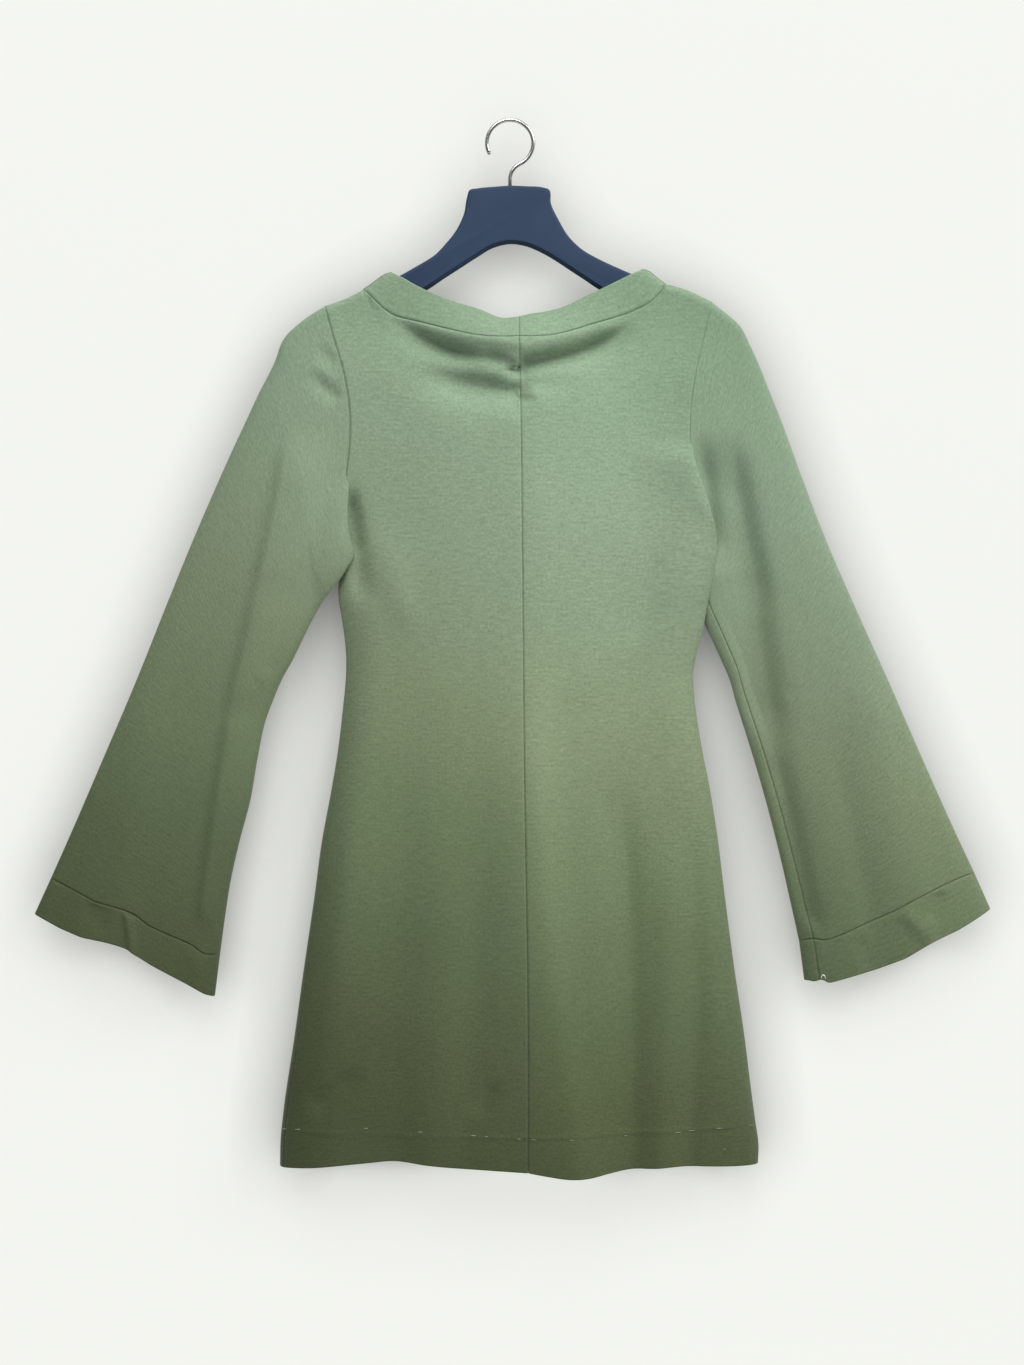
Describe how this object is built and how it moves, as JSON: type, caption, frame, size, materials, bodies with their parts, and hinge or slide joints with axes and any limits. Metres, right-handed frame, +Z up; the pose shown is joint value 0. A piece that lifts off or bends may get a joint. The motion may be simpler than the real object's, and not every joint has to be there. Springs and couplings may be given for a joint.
{
  "type": "knee-length dress on a hanger",
  "caption": "Long-sleeved knit dress with flared sleeves, cuff bands and a banded scoop neck, hanging on a plastic hanger with a wire hook.",
  "frame": {"origin": "the inside top of the hanger's hook, where it rests on a rail", "axes": "+Z up; +X to the right seen from the side that is shown, which is the garment's back; that side faces -Y"},
  "size_m": [0.9072, 0.0622, 1.0025],
  "materials": {
    "cloth": "matt double-knit jersey, sage green turning olive towards the hem",
    "hanger_plastic": "moulded, satin",
    "hook_steel": "drawn wire, plain"
  },
  "bodies": {
    "root": {"back_left": "cloth", "back_right": "cloth", "front": "cloth", "neckband_back_left": "cloth", "neckband_back_right": "cloth", "neckband_front": "cloth", "sleeve_left": "cloth", "sleeve_right": "cloth", "cuff_left": "cloth", "cuff_right": "cloth", "hanger": "hanger_plastic", "hanger_hook": "hook_steel"}
  },
  "joints": []
}
